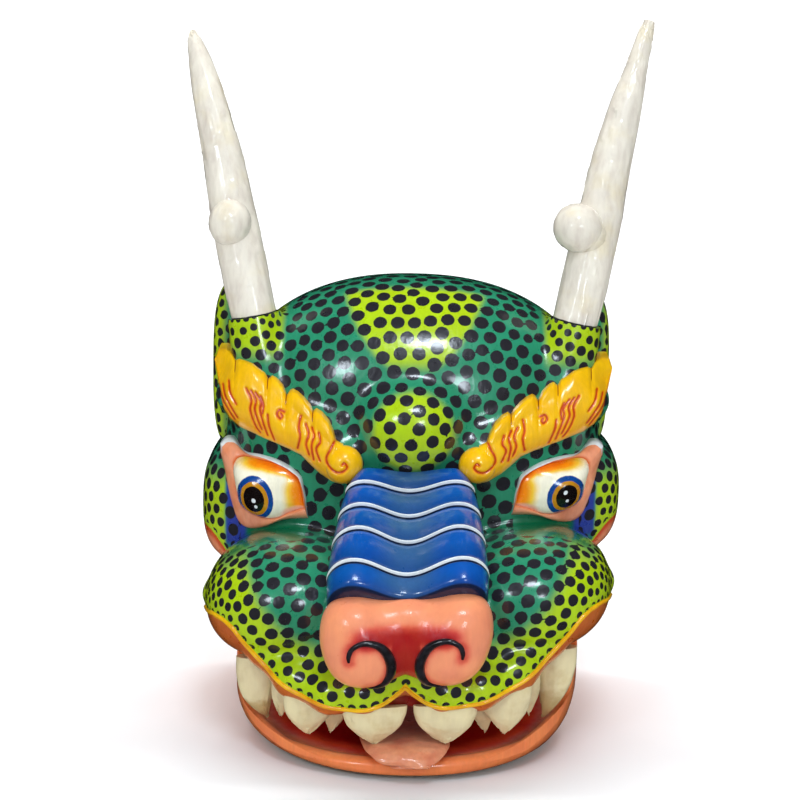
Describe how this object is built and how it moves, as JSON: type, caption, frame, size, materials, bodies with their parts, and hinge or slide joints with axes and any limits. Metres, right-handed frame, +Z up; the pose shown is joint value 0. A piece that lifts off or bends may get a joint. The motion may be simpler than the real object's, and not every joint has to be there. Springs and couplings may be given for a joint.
{
  "type": "wooden dance mask",
  "caption": "Carved and lacquered wooden dragon deity mask with tall horns, flame brows, ridged nose and fanged open mouth, worn over the face.",
  "frame": {"origin": "middle of the bounding box in x and y, on the table plane under the jaw", "axes": "+Z up toward the horn tips, the face looks along -Y and its open back along +Y, +X is the mask's own left"},
  "size_m": [0.3052, 0.25, 0.4557],
  "materials": {
    "green_lacquer": "gloss lacquer over paint, green shading to lime with dark dots",
    "blue_lacquer": "gloss lacquer over paint, blue bands with white edges",
    "salmon_lacquer": "gloss lacquer over paint, red round the nostrils",
    "horn_paint": "satin ivory paint over knife-cut wood",
    "eye_paint": "gloss lacquer over painted eyes",
    "peach_paint": "gloss lacquer over paint",
    "gold_paint": "gloss golden yellow paint with orange carved lines",
    "dark_red_paint": "satin dark red paint",
    "tooth_paint": "satin ivory paint, worn tan at the roots",
    "jaw_lacquer": "gloss lacquer over orange paint, dark red inside",
    "tongue_lacquer": "gloss lacquer over pink paint"
  },
  "bodies": {
    "root": {"head_shell": "green_lacquer", "nose_bridge": "blue_lacquer", "nose_pad": "salmon_lacquer", "horn_collar_left": "green_lacquer", "horn_collar_right": "green_lacquer", "horn_left": "horn_paint", "horn_right": "horn_paint", "ear_left": "green_lacquer", "ear_right": "green_lacquer", "eyeball_left": "eye_paint", "eyeball_right": "eye_paint", "upper_eyelid_left": "peach_paint", "upper_eyelid_right": "peach_paint", "lower_eyelid_left": "peach_paint", "lower_eyelid_right": "peach_paint", "brow_left": "gold_paint", "brow_right": "gold_paint", "upper_gum": "dark_red_paint", "fang_front_left": "tooth_paint", "fang_front_right": "tooth_paint", "fang_middle_left": "tooth_paint", "fang_middle_right": "tooth_paint", "fang_side_left": "tooth_paint", "fang_side_right": "tooth_paint", "tooth_front_left": "tooth_paint", "tooth_front_right": "tooth_paint", "tooth_side_left": "tooth_paint", "tooth_side_right": "tooth_paint", "lower_jaw": "jaw_lacquer", "tongue": "tongue_lacquer"}
  },
  "joints": []
}
